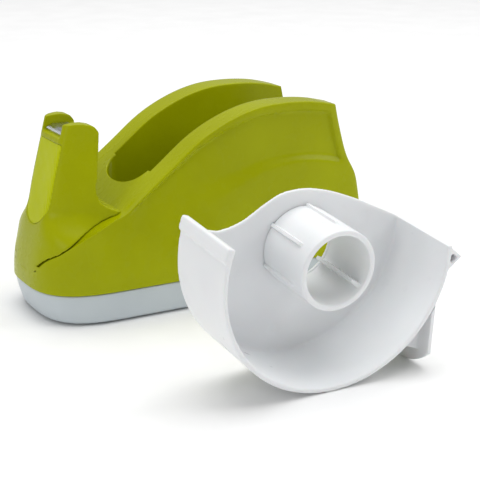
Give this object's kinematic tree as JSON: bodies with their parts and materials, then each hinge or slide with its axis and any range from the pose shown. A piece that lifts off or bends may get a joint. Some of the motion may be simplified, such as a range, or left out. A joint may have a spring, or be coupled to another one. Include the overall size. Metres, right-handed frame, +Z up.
{
  "type": "tape dispenser",
  "caption": "Desktop tape dispenser with a two-walled slot body, a serrated cutter on a tower, and a lift-out tape tray with a hub, shown standing beside it.",
  "frame": {"origin": "on the table plane, under the middle of the housing, at the centre of the non-slip pad's underside", "axes": "+Z up, -X towards the cutter tower, +Y across the housing away from the tray that stands beside it"},
  "size_m": [0.1154, 0.1298, 0.0652],
  "materials": {
    "lime_gloss_abs": "glossy moulded",
    "lime_textured_abs": "fine diagonal moulded texture",
    "blade_steel": "bright rolled",
    "base_white_abs": "satin moulded",
    "ballast_iron": "as cast",
    "pad_rubber": "fine-grained sheet",
    "screw_steel": "zinc plated",
    "tray_white_abs": "satin moulded"
  },
  "bodies": {
    "dispenser": {"housing": "lime_gloss_abs", "cutter_tower": "lime_gloss_abs", "front_panel": "lime_textured_abs", "cutter_blade": "blade_steel", "base_shell": "base_white_abs", "ballast_weight": "ballast_iron", "nonslip_pad": "pad_rubber", "base_screw_1": "screw_steel", "base_screw_2": "screw_steel", "base_screw_3": "screw_steel", "base_screw_4": "screw_steel", "tower_screw_1": "screw_steel", "tower_screw_2": "screw_steel"},
    "tray": {"tape_tray": "tray_white_abs", "tape_hub": "tray_white_abs"},
    "latch": {"tray_latch": "tray_white_abs"}
  },
  "joints": [
    {"name": "tray_lift", "type": "slide", "parent": "dispenser", "child": "tray", "axis": [0, 0, 1], "range_m": [0, 0.07]},
    {"name": "latch_flex", "type": "hinge", "parent": "tray", "child": "latch", "pos_m": [0.0291, -0.09018, 0.02155], "axis": [0, 0.9954, 0.0958], "range_deg": [0, 6], "stiffness_Nm_per_rad": 0.3}
  ]
}
